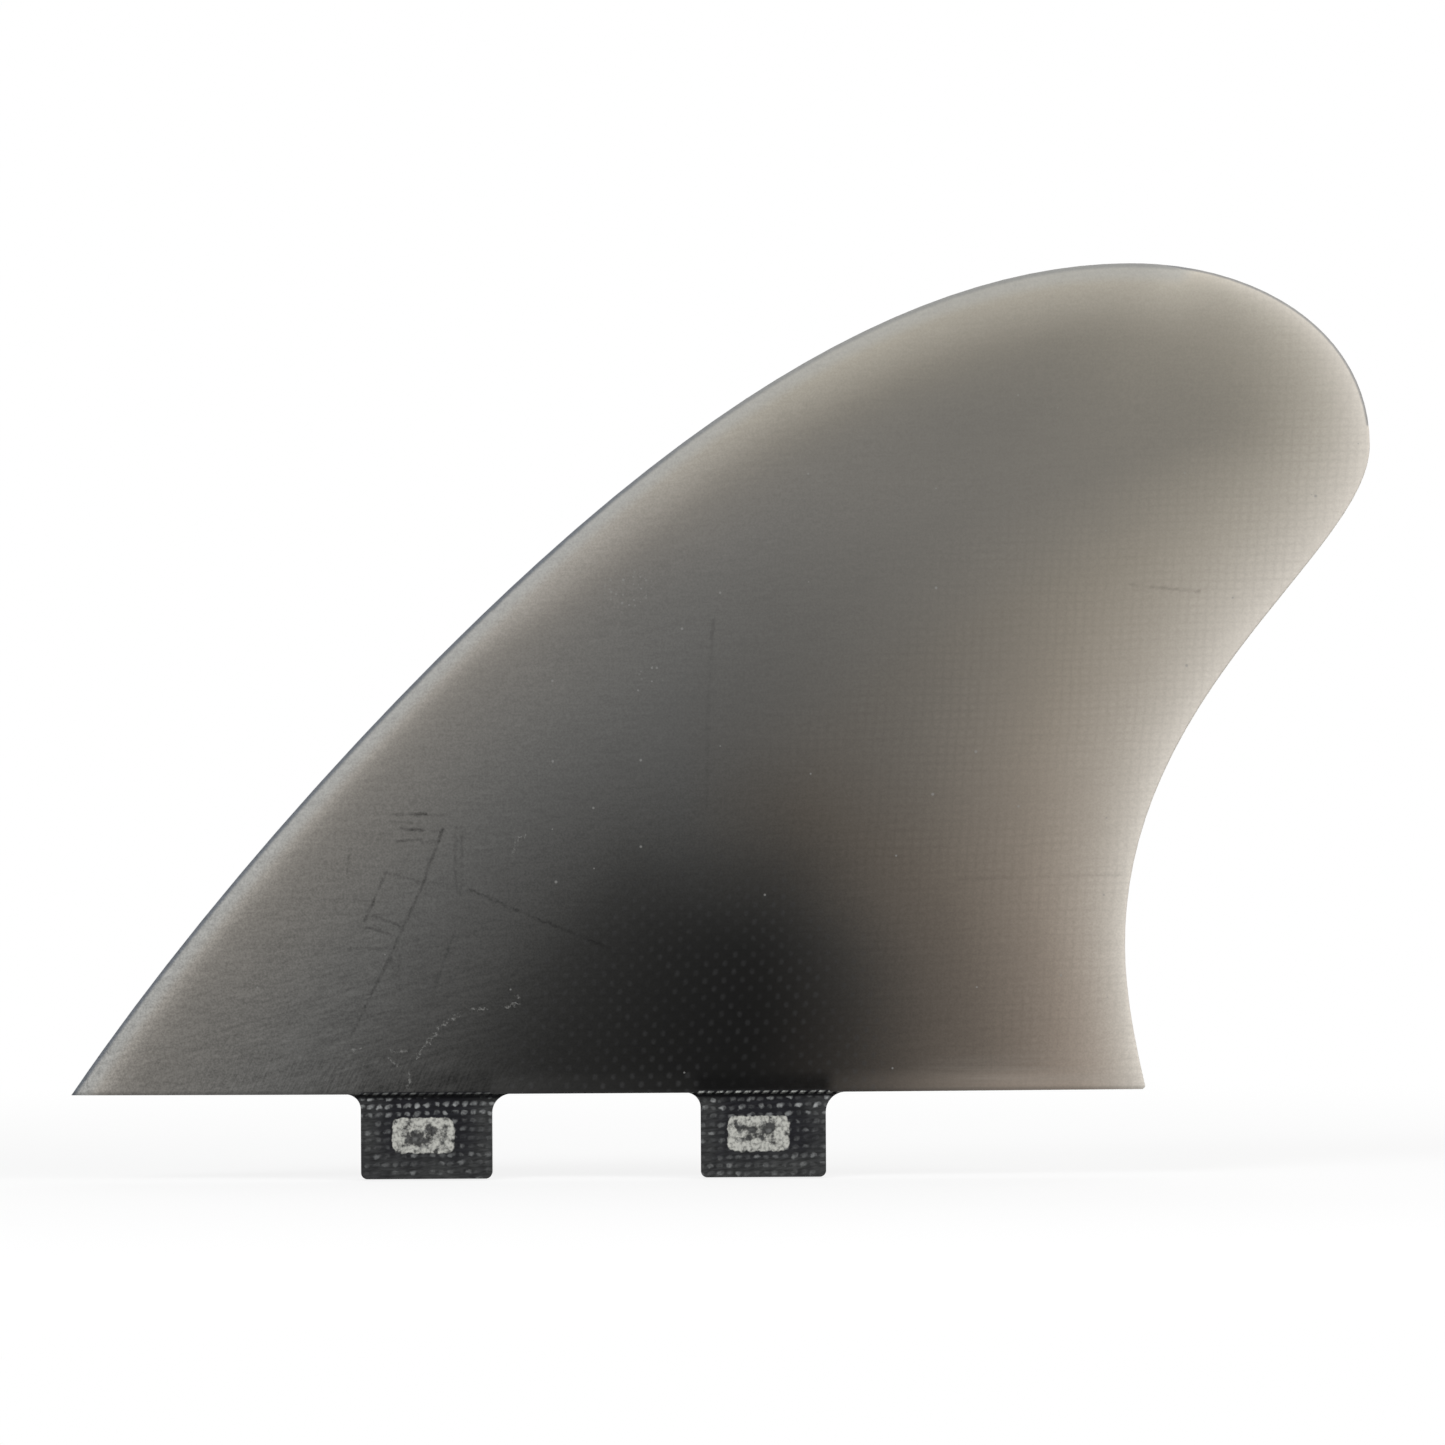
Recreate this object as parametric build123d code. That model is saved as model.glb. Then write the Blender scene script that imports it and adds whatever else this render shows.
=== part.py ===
from build123d import *
import math
import os

# Twin-tab keel fin of solid glass laminate, foiled on its outer face and flat inside.
# Millimetres. X runs aft, Z runs from the board up to the tip, and Y is across the fin.
# The origin lies on the base line, midway between the two tabs, in their middle plane.
# The flat inner face looks along +Y and the foiled outer face along -Y.

# Base line, and where the nose lies in front of the middle of the tabs
base_length = 203.0
nose_offset = 98.9
nose_angle = 55.5

# Leading edge, from the nose over the shoulder to the top of the tip
shoulder_aft = 78.0
shoulder_height = 90.2
shoulder_angle = 43.6
tip_aft = 200.7
span = 156.0

# Rearmost point of the tip, aft of its top and below it
tip_overhang = 45.3
tip_drop = 34.5

# Trailing edge, down to its waist in front of the heel
waist_inset = 3.8
waist_height = 27.0
heel_angle = 77.0

# How far each curve of the outline is pulled along its end tangents
nose_pull = 37.9
shoulder_pull_down = 37.0
shoulder_pull_up = 46.4
tip_front_pull = 45.1
tip_back_pull = 24.9
rear_pull_up = 21.2
rear_pull_down = 20.0
waist_pull_up = 48.5
waist_pull_down = 9.0
heel_pull = 9.0

# Foil
root_thickness = 8.9
tip_thickness = 3.0
thinning_power = 1.8
leading_edge_thickness = 1.7
trailing_edge_thickness = 1.0
edge_round = 0.4
inner_face_offset = 3.7

# Mounting tabs
tab_spacing = 63.5
front_tab_width = 24.7
rear_tab_width = 23.6
tab_depth = 16.0
tab_thickness = 6.4
tab_corner_round = 1.2
tab_front_flare = 2.8
tab_rear_flare = 3.8

# Share of the thinnest edge that stays flat between the rounds on its two sides
flat_rim_share = 0.2

# How far the sections reach past the finished outline, where they are trimmed
overshoot = 3.0

# Fullness of a section: share of its chord, and share of the rise from edge to full thickness
foil_shares = (
    (0.00, 0.00),
    (0.02, 0.14),
    (0.08, 0.40),
    (0.22, 0.78),
    (0.40, 0.98),
    (0.52, 1.00),
    (0.66, 0.92),
    (0.76, 0.72),
    (0.88, 0.36),
    (1.00, 0.00),
)

# Heights of the sections between the base line and the tip, as shares of the span
section_shares = (0.06, 0.14, 0.24, 0.35, 0.47, 0.59, 0.70, 0.79, 0.86, 0.92)

nose = Vector(-nose_offset, 0, 0)
shoulder = nose + Vector(shoulder_aft, 0, shoulder_height)
tip_top = nose + Vector(tip_aft, 0, span)
tip_rear = tip_top + Vector(tip_overhang, 0, -tip_drop)
heel = nose + Vector(base_length, 0, 0)
waist = heel + Vector(-waist_inset, 0, waist_height)


def pull(length, angle):
    """Step of this length in the plane of the fin, at an angle above the base line."""
    turn = math.radians(angle)
    return Vector(length * math.cos(turn), 0, length * math.sin(turn))


def leading_edge():
    lower = Bezier(
        nose,
        nose + pull(nose_pull, nose_angle),
        shoulder - pull(shoulder_pull_down, shoulder_angle),
        shoulder,
    )
    upper = Bezier(
        shoulder,
        shoulder + pull(shoulder_pull_up, shoulder_angle),
        tip_top - pull(tip_front_pull, 0),
        tip_top,
    )
    return [lower, upper]


def tip_edge():
    back = Bezier(
        tip_top,
        tip_top + pull(tip_back_pull, 0),
        tip_rear + pull(rear_pull_up, 90),
        tip_rear,
    )
    return [back]


def trailing_edge():
    hollow = Bezier(
        tip_rear,
        tip_rear - pull(rear_pull_down, 90),
        waist + pull(waist_pull_up, 90),
        waist,
    )
    heel_flare = Bezier(
        waist,
        waist - pull(waist_pull_down, 90),
        heel - pull(heel_pull, -heel_angle),
        heel,
    )
    return [hollow, heel_flare]


def edge_x(edge, height):
    """X of an edge of the blade at this height, found by halving along its curve."""
    curve = next(c for c in edge if min((c @ 0).Z, (c @ 1).Z) <= height <= max((c @ 0).Z, (c @ 1).Z))
    rising = (curve @ 1).Z > (curve @ 0).Z
    low, high = 0.0, 1.0
    while high - low > 1e-9:
        middle = (low + high) / 2
        if ((curve @ middle).Z < height) == rising:
            low = middle
        else:
            high = middle
    return (curve @ low).X


def full_thickness(height):
    """Thickness of the section at this height where it is fullest."""
    return tip_thickness + (root_thickness - tip_thickness) * (1 - height / span) ** thinning_power


def continued(end, neighbour):
    """Point that carries a section's profile on past its end by the overshoot."""
    step = overshoot / abs(end[0] - neighbour[0])
    return (end[0] + (end[0] - neighbour[0]) * step, end[1] + (end[1] - neighbour[1]) * step)


def foil_section(height, front_x, rear_x, fullest):
    """Section across the blade: a spline over the foiled side, straight on the inner side."""
    profile = []
    for chord_share, rise in foil_shares:
        x = front_x + (rear_x - front_x) * chord_share
        edge = leading_edge_thickness + (trailing_edge_thickness - leading_edge_thickness) * chord_share
        profile.append((x, edge + (fullest - edge) * rise))
    profile = [continued(*profile[:2])] + profile + [continued(*profile[:-3:-1])]
    foiled = Spline(*[(x, inner_face_offset - thickness, height) for x, thickness in profile])
    behind = inner_face_offset + overshoot
    rear_corner = (profile[-1][0], behind, height)
    front_corner = (profile[0][0], behind, height)
    walls = Polyline(foiled @ 1, rear_corner, front_corner, foiled @ 0)
    return Face(Wire([foiled] + walls.edges()))


def foiled_body():
    """Loft of the sections, which stands a little proud of the blade all round."""
    below_front = nose.X - overshoot / math.tan(math.radians(nose_angle))
    below_rear = heel.X + overshoot / math.tan(math.radians(heel_angle))
    sections = [foil_section(-overshoot, below_front, below_rear, full_thickness(-overshoot))]
    for share in section_shares:
        height = share * span
        front_x = edge_x(leading_edge(), height)
        rear_x = edge_x(tip_edge() + trailing_edge(), height)
        sections.append(foil_section(height, front_x, rear_x, full_thickness(height)))
    above = span + overshoot
    inset = above - height
    sections.append(foil_section(above, front_x + inset, rear_x - inset, leading_edge_thickness))
    return loft(sections)


def outline_body():
    """Outline of the blade as a flat plate, from its inner face out past the foiled side."""
    base_line = Line(heel, nose)
    outline = Face(Wire(leading_edge() + tip_edge() + trailing_edge() + [base_line]))
    inner_face = Pos(0, inner_face_offset, 0) * outline
    return extrude(inner_face, amount=root_thickness + overshoot, dir=(0, -1, 0))


def blade():
    """Foiled body trimmed to the outline, with its rim rounded from the nose to the heel."""
    body = foiled_body() & outline_body()
    outline = leading_edge() + tip_edge() + trailing_edge()
    rim = ShapeList()
    for edge in body.edges():
        middle = edge @ 0.5
        in_plane = Vector(middle.X, 0, middle.Z)
        across_the_fin = abs((edge % 0.5).Y) > 0.5
        if not across_the_fin and min(curve.distance_to(in_plane) for curve in outline) < 0.01:
            rim.append(edge)
    widest_round = trailing_edge_thickness * (1 - flat_rim_share) / 2
    return fillet(rim, min(edge_round, widest_round))


def tabs():
    """Both tabs, cut level with the base line, with flared roots and rounded lower corners."""
    strip_height = tab_front_flare + tab_rear_flare
    strip_length = tab_spacing + front_tab_width + rear_tab_width
    strip = Pos(0, strip_height / 2) * Rectangle(strip_length, strip_height)
    places = ((-tab_spacing / 2, front_tab_width), (tab_spacing / 2, rear_tab_width))
    outline = strip
    for middle, width in places:
        outline += Pos(middle, -tab_depth / 2) * Rectangle(width, tab_depth)
    outline = fillet(outline.vertices().group_by(Axis.Y)[0], tab_corner_round)
    for middle, width in places:
        for root_x, flare in ((middle - width / 2, tab_front_flare), (middle + width / 2, tab_rear_flare)):
            root = Vector(root_x, 0, 0)
            corner = outline.vertices().sort_by_distance(root)[0]
            outline = fillet(corner, flare)
    outline -= strip
    return extrude(Plane.XZ * outline, amount=tab_thickness / 2, both=True)


fin = blade() + tabs()

os.makedirs("parts", exist_ok=True)
export_step(fin, "parts/fin.step")
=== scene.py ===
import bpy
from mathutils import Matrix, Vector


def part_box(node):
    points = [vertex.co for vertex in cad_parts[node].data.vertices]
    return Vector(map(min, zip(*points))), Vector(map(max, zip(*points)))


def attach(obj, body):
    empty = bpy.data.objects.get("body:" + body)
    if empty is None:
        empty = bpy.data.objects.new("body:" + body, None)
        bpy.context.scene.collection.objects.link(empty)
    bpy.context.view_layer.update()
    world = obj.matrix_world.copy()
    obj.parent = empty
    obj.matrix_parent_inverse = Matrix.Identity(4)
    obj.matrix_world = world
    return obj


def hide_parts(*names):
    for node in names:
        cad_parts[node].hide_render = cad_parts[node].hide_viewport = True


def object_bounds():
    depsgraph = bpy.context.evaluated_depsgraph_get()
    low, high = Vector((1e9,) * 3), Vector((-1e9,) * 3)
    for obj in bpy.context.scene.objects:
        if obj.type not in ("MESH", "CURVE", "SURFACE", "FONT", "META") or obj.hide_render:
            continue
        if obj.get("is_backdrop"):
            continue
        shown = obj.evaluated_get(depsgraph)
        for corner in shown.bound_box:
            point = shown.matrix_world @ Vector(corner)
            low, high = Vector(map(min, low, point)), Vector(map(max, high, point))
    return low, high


bl_info = {
    "name": "Surfboard Fin",
    "version": (1, 0, 0),
    "blender": (4, 5, 0),
    "location": "3D View > Sidebar > Surfboard Fin",
    "description": "Builds a surfboard fin of smoked glass laminate, and a plain studio to show it in",
    "category": "Object",
}

import math

import bpy
from bpy.props import FloatProperty, FloatVectorProperty, IntProperty, PointerProperty
from mathutils import Vector
from mathutils.bvhtree import BVHTree

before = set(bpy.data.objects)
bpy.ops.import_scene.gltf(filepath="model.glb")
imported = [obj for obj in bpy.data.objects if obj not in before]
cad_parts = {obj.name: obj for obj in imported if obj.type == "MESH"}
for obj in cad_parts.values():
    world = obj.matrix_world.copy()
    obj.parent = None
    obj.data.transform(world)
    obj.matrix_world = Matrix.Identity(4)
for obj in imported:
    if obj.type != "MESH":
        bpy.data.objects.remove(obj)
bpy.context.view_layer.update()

NODE = "fin"
MILLIMETRE = 0.001

# Smoke depth is how dark the laminate looks through its thickness: brightness falls as exp(-depth). It is the
# laminate's smoke with painted light from behind: thin laminate is painted pale as if lit through, and thick
# laminate dark.
# Each ramp pairs a distance in millimetres with a depth. The nose ramp holds below the shoulder, and
# gives way to the lead ramp between the two heights under it.
NOSE_RAMP = (
    (0, 0.86), (4, 1.15), (6, 1.46), (9, 1.67), (14, 1.82), (22, 2.0),
    (38, 2.43), (52, 2.93), (66, 3.9), (80, 4.7), (100, 5.9),
)
NOSE_RAMP_ENDS = (76, 98)
LEAD_RAMP = ((0, 0.8), (5, 1.14), (14, 1.81), (38, 2.5), (52, 2.95), (66, 3.9), (80, 4.7), (100, 5.9))
TRAIL_RAMP = ((0, 0.42), (3, 0.72), (13, 1.32), (30, 2.08), (43, 2.62), (58, 3.75), (76, 5.7))
HEIGHT_RAMP = ((0, 6.2), (20, 5.35), (40, 3.5), (56, 2.66), (93, 2.14), (112, 1.87), (130, 1.85), (156, 1.5))

# Factors that the distances to both edges are multiplied by before the ramps, by height in millimetres
LEAD_STRETCH = ((0, 1.0), (15, 1.08), (70, 1.08), (110, 0.93), (150, 0.75))
TRAIL_STRETCH = (
    (0, 1.0), (18, 1.05), (40, 0.84), (56, 0.69), (74, 0.57),
    (112, 0.54), (130, 0.8), (142, 1.18), (154, 2.1),
)

# Marks on the foiled side, as lines through points (aft, up) in millimetres
DEEP_SCRATCHES = (
    ((-28.3, 50.0), (-29.6, 46.6), (-32.6, 38.5), (-38.1, 26.7), (-45.5, 11.7)),
    ((-39.2, 41.7), (-41.9, 35.4), (-43.2, 32.8)),
    ((-41.5, 33.6), (-36.1, 31.6)),
    ((-42.9, 31.5), (-38.4, 30.3)),
    ((-37.9, 52.7), (-31.4, 52.8)),
    ((-36.4, 50.1), (-31.8, 49.7)),
    ((-37.6, 47.6), (-32.2, 48.0)),
    ((-23.4, 38.5), (-12.7, 33.8), (3.1, 27.2)),
)
FAINT_SCRATCHES = (
    ((-38.3, 51.5), (-34.1, 51.1)),
    ((-33.4, 52.8), (-27.2, 52.3)),
    ((-34.1, 49.9), (-28.0, 49.6)),
    ((-32.2, 47.4), (-29.1, 47.6)),
    ((-45.8, 27.4), (-36.4, 27.6)),
    ((-38.8, 41.7), (-33.0, 40.1)),
    ((-26.1, 30.8), (-28.9, 23.1), (-30.4, 18.5)),
    ((-36.5, 26.7), (-37.2, 20.9)),
    ((-38.3, 25.4), (-37.2, 21.7), (-36.3, 19.6)),
    ((-26.0, 50.0), (-26.0, 38.1)),
    ((-24.8, 50.4), (-24.9, 37.7)),
    ((-45.9, 46.3), (-46.5, 40.2)),
    ((22.9, 89.1), (22.6, 85.0)),
    ((101.5, 95.3), (114.7, 93.9)),
)
TRACES = (
    ((22.6, 85.0), (21.9, 74.1), (21.4, 53.3)),
    ((69.1, 39.9), (84.0, 40.4), (99.3, 40.5)),
    ((-30.4, 47.4), (-31.9, 38.2)),
    ((-35.0, 45.2), (-40.1, 33.4)),
    ((-49.3, 49.4), (-38.8, 49.1)),
    ((-50.9, 36.8), (-41.4, 36.3)),
    ((-34.2, 40.3), (-23.3, 38.4)),
    ((-45.9, 11.4), (-31.4, 13.2), (-14.7, 18.6)),
    ((-33.6, 12.9), (-20.6, 14.9), (-8.9, 18.6)),
)
LIGHT_SCUFFS = (
    ((-25.1, 15.4), (-28.2, 13.4), (-30.0, 11.4), (-33.2, 7.8), (-33.8, 6.1)),
    ((-35.0, 4.4), (-35.2, 1.3)),
    ((-16.8, 16.3), (-14.7, 16.7), (-14.1, 17.7), (-14.5, 18.4)),
    ((-38.4, 6.6), (-36.9, 5.2)),
    ((-13.2, 49.0), (-14.9, 46.1), (-15.3, 44.8)),
    ((-45.3, 8.2), (-44.1, 8.8)),
    ((-38.2, 8.2), (-35.3, 8.0)),
    ((-23.4, 15.8), (-20.6, 16.1)),
)
# Width in millimetres and strength of each kind of scratch
SCRATCH_KINDS = ((DEEP_SCRATCHES, 0.5, 0.36), (FAINT_SCRATCHES, 0.55, 0.19), (TRACES, 0.7, 0.08))
# Middle (aft, up) and reach of two clusters of pale specks, in millimetres
SPECK_CLUSTERS = ((11.2, 79.0, 3.2), (6.5, 95.3, 6.5))

# Colours of small marks and threads
DOT_COLOUR = (0.036, 0.036, 0.037)
SCUFF_COLOUR = (0.25, 0.25, 0.24)
BASE_STREAK_COLOUR = (0.34, 0.32, 0.29)
BASE_EDGE_COLOUR = (0.02, 0.02, 0.02)
TAB_MARGIN_COLOUR = (0.04, 0.041, 0.041)
ROW_SHADOW_COLOUR = (0.003, 0.003, 0.004)
THREAD_END_COLOUR = (0.42, 0.43, 0.41)

# Middle of the rear tab, and of the row of cut thread ends over it, aft of the origin in millimetres.
# The front ones lie as far in front of it.
TAB_MIDDLE = 31.75
THREAD_ROW_MIDDLE = 31.9

# Rim faces turn away from the fin's sides: their normal's part across the fin is smaller than this
RIM_TURN = 0.35
# Broad faces look out of the fin's sides: their normal's part across the fin is larger than this
BROAD_TURN = 0.9
# The leading rim runs on over the top of the tip, in front of and above these, in metres
TIP_TOP_AFT = 0.11
TIP_TOP_HEIGHT = 0.15
# Band along the rim where the solid's own triangles stay
RIM_KEPT = 0.6 * MILLIMETRE
# Direction in which the heel's corner is cut off
HEEL_CUT = (0.75, 0.0, -0.66)

# Point that the camera and the lamps aim at, and the plane in which the camera's frame is measured
AIM = (0.0245, 0.0, 0.0697)
FRAME_PLANE = 3 * MILLIMETRE
SENSOR_WIDTH = 36.0
FLOOR_SIZE = 12.0
FLOOR_DROP = 0.2 * MILLIMETRE
# Name, place, size, share of the main power, and tone of each lamp
LAMPS = (
    ("main lamp", (-0.55, -1.05, 0.75), 0.6, 1.0, (0.96, 0.98, 1.0)),
    ("side lamp", (1.0, -0.8, 0.45), 0.8, 1.4, (1.0, 0.985, 0.97)),
    ("back lamp", (0.2, 1.1, 0.8), 0.9, 0.6, (1.0, 1.0, 1.0)),
)


class FinShape(bpy.types.PropertyGroup):
    cell: FloatProperty(
        name="Cell",
        description="Spacing of the cuts that divide the broad faces evenly",
        default=2.2 * MILLIMETRE,
        min=1 * MILLIMETRE,
        unit="LENGTH",
    )
    fairing_passes: IntProperty(
        name="Fairing Passes",
        description="How many times the foiled face is evened out across the fin",
        default=8,
        min=0,
    )
    edge_kept: FloatProperty(
        name="Edge Kept",
        description="Width of the band inside the rim that fairing leaves alone",
        default=1.5 * MILLIMETRE,
        unit="LENGTH",
    )
    heel_chip: FloatProperty(
        name="Heel Chip",
        description="How deep the corner of the heel is broken off",
        default=0.45 * MILLIMETRE,
        unit="LENGTH",
    )
    smooth_angle: FloatProperty(
        name="Smooth Angle",
        description="Faces that meet at less than this angle are shaded as one surface",
        default=math.radians(32),
        subtype="ANGLE",
    )


class FinFinish(bpy.types.PropertyGroup):
    pale_tint: FloatVectorProperty(
        name="Pale Tint",
        description="Tint of the thinnest laminate, along the trailing edge",
        default=(1.0, 0.935, 0.84),
        subtype="COLOR",
    )
    smoke_tint: FloatVectorProperty(
        name="Smoke Tint",
        description="Tint of the laminate where it is half dark, near the tip",
        default=(1.0, 0.925, 0.77),
        subtype="COLOR",
    )
    base_tint: FloatVectorProperty(
        name="Base Tint",
        description="Tint of the laminate where it is half dark, near the base",
        default=(1.0, 0.83, 0.685),
        subtype="COLOR",
    )
    # Painted sheen: this cool tint stands in for a soft reflection over the sanded leading half and the
    # darkest smoke
    sheen_tint: FloatVectorProperty(
        name="Sheen Tint",
        description="Tint of the sanded leading half",
        default=(1.0, 0.99, 0.95),
        subtype="COLOR",
    )
    rim_colour: FloatVectorProperty(
        name="Rim Colour",
        description="Colour of the thin line along the leading rim",
        default=(0.105, 0.12, 0.145),
        subtype="COLOR",
    )
    # Painted sheen: the sanded bevel's pale colour stands in for its sheen and for light through its thin
    # edge
    bevel_sheen_colour: FloatVectorProperty(
        name="Bevel Colour",
        description="Colour of the sanded band just inside the leading rim",
        default=(0.38, 0.385, 0.375),
        subtype="COLOR",
    )
    warp_pitch: FloatProperty(
        name="Warp Pitch",
        description="Spacing of the upright threads",
        default=1.75 * MILLIMETRE,
        unit="LENGTH",
    )
    weft_pitch: FloatProperty(
        name="Weft Pitch",
        description="Spacing of the level threads",
        default=1.58 * MILLIMETRE,
        unit="LENGTH",
    )
    tab_ground: FloatVectorProperty(
        name="Tab Ground",
        description="Colour of the resin between the threads of the tabs",
        default=(0.012, 0.012, 0.0145),
        subtype="COLOR",
    )
    tab_thread: FloatVectorProperty(
        name="Tab Thread",
        description="Colour of the bare threads that show in the tabs",
        default=(0.34, 0.35, 0.35),
        subtype="COLOR",
    )
    patch_colour: FloatVectorProperty(
        name="Patch Colour",
        description="Colour of the plain worn patch on each tab",
        default=(0.52, 0.52, 0.48),
        subtype="COLOR",
    )
    roughness: FloatProperty(
        name="Roughness",
        description="Roughness of the sanded resin",
        default=0.38,
        subtype="FACTOR",
    )


class Studio(bpy.types.PropertyGroup):
    camera_distance: FloatProperty(
        name="Camera Distance",
        description="How far the camera stands from the fin",
        default=2.5,
        unit="LENGTH",
    )
    frame_width: FloatProperty(
        name="Frame Width",
        description="Width that the camera takes in at the fin",
        default=273.0 * MILLIMETRE,
        unit="LENGTH",
    )
    camera_roll: FloatProperty(
        name="Camera Roll",
        description="How far the camera leans clockwise",
        default=math.radians(0.33),
        subtype="ANGLE",
    )
    lamp_power: FloatProperty(
        name="Lamp Power",
        description="Power of the main lamp in watts, which the other lamps follow",
        default=8.0,
        min=0.0,
    )
    sky_strength: FloatProperty(
        name="Sky Strength",
        description="Strength of the even light from all round",
        default=0.48,
        min=0.0,
    )


# Node helpers: each adds one node to a tree and gives back its output socket


def feed(tree, socket, value):
    """Joins an output to this input, or sets the input to a plain value."""
    if isinstance(value, bpy.types.NodeSocket):
        tree.links.new(value, socket)
    else:
        socket.default_value = value


def calc(tree, operation, *values):
    made = tree.nodes.new("ShaderNodeMath")
    made.operation = operation
    for socket, value in zip(made.inputs, values):
        feed(tree, socket, value)
    return made.outputs[0]


def limited(tree, value):
    """The value kept between 0 and 1, by a node of its own, so that large materials stay within limits."""
    made = tree.nodes.new("ShaderNodeClamp")
    feed(tree, made.inputs[0], value)
    return made.outputs[0]


def vector_calc(tree, operation, *values):
    made = tree.nodes.new("ShaderNodeVectorMath")
    made.operation = operation
    for socket, value in zip(made.inputs, values):
        feed(tree, socket, value)
    return made.outputs["Value" if operation in {"DOT_PRODUCT", "LENGTH", "DISTANCE"} else "Vector"]


def scaled(tree, vector, factor):
    made = tree.nodes.new("ShaderNodeVectorMath")
    made.operation = "SCALE"
    feed(tree, made.inputs[0], vector)
    feed(tree, made.inputs["Scale"], factor)
    return made.outputs[0]


def split(tree, vector):
    made = tree.nodes.new("ShaderNodeSeparateXYZ")
    feed(tree, made.inputs[0], vector)
    return made.outputs


def joined(tree, x, y, z):
    made = tree.nodes.new("ShaderNodeCombineXYZ")
    for socket, value in zip(made.inputs, (x, y, z)):
        feed(tree, socket, value)
    return made.outputs[0]


def step(tree, value, low, high, start=0.0, end=1.0):
    """Smooth change from start to end while the value goes from low to high."""
    made = tree.nodes.new("ShaderNodeMapRange")
    made.interpolation_type = "SMOOTHSTEP"
    for socket, number in zip(made.inputs, (value, low, high, start, end)):
        feed(tree, socket, number)
    return made.outputs[0]


def blended(tree, factor, first, second, kind="RGBA", mode="MIX"):
    made = tree.nodes.new("ShaderNodeMix")
    made.data_type = kind
    if kind == "RGBA":
        made.blend_type = mode
    sockets = [socket for socket in made.inputs if socket.enabled]
    for socket, value in zip(sockets, (factor, first, second)):
        feed(tree, socket, value)
    return next(socket for socket in made.outputs if socket.enabled)


def ramp(tree, value, points):
    """Smooth curve through pairs of distance and result."""
    reach = points[-1][0]
    highest = max(result for _, result in points)
    made = tree.nodes.new("ShaderNodeFloatCurve")
    line = made.mapping.curves[0]
    while len(line.points) < len(points):
        line.points.new(0.5, 0.5)
    for point, (distance, result) in zip(line.points, points):
        point.location = (distance / reach, result / highest)
    made.mapping.update()
    feed(tree, made.inputs["Value"], calc(tree, "DIVIDE", value, reach))
    return calc(tree, "MULTIPLY", made.outputs[0], highest)


def noise(tree, vector, scale, detail=2.0, roughness=0.5):
    made = tree.nodes.new("ShaderNodeTexNoise")
    feed(tree, made.inputs["Vector"], vector)
    feed(tree, made.inputs["Scale"], scale)
    feed(tree, made.inputs["Detail"], detail)
    feed(tree, made.inputs["Roughness"], roughness)
    return made.outputs[0]


def colour(value):
    return (*value, 1.0)


def new_group(name, inputs, outputs):
    """Empty node group, with its input and output sockets in this order."""
    tree = bpy.data.node_groups.new(name, "ShaderNodeTree")
    kinds = {"value": "NodeSocketFloat", "vector": "NodeSocketVector", "colour": "NodeSocketColor"}
    for socket, kind in inputs:
        tree.interface.new_socket(name=socket, in_out="INPUT", socket_type=kinds[kind])
    for socket, kind in outputs:
        tree.interface.new_socket(name=socket, in_out="OUTPUT", socket_type=kinds[kind])
    given = tree.nodes.new("NodeGroupInput").outputs
    wanted = tree.nodes.new("NodeGroupOutput").inputs
    return tree, given, wanted


def placed(tree, group, **values):
    """A node group placed in a tree, with its inputs fed by name."""
    made = tree.nodes.new("ShaderNodeGroup")
    made.node_tree = group
    for name, value in values.items():
        feed(tree, made.inputs[name.replace("_", " ").title()], value)
    return made.outputs


# Node groups


def backlit_smoke_depth_group():
    """Depth of the smoke from the distance to each edge and the height above the board, which sets how much
    painted light from behind shows through.
    """
    tree, given, wanted = new_group(
        "Smoke Depth",
        (("Lead", "value"), ("Trail", "value"), ("Height", "value")),
        (("Depth", "value"), ("Warmth", "value")),
    )
    lead = calc(tree, "MULTIPLY", given["Lead"], ramp(tree, given["Height"], LEAD_STRETCH))
    trail = calc(tree, "MULTIPLY", given["Trail"], ramp(tree, given["Height"], TRAIL_STRETCH))
    above_nose = step(tree, given["Height"], *NOSE_RAMP_ENDS)
    from_lead = blended(
        tree, above_nose, ramp(tree, lead, NOSE_RAMP), ramp(tree, lead, LEAD_RAMP), kind="FLOAT"
    )
    from_trail = ramp(tree, trail, TRAIL_RAMP)
    from_base = ramp(tree, given["Height"], HEIGHT_RAMP)
    edges = calc(tree, "SMOOTH_MIN", from_lead, from_trail, 0.7)
    feed(tree, wanted["Depth"], calc(tree, "SMOOTH_MIN", edges, from_base, 0.8))
    # Warmth is the share of the warm tint; the rest takes the painted sheen of the leading half
    lean = calc(tree, "SUBTRACT", from_lead, from_trail)
    feed(tree, wanted["Warmth"], limited(tree, calc(tree, "MULTIPLY_ADD", lean, 0.4, 0.3)))
    return tree


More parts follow.
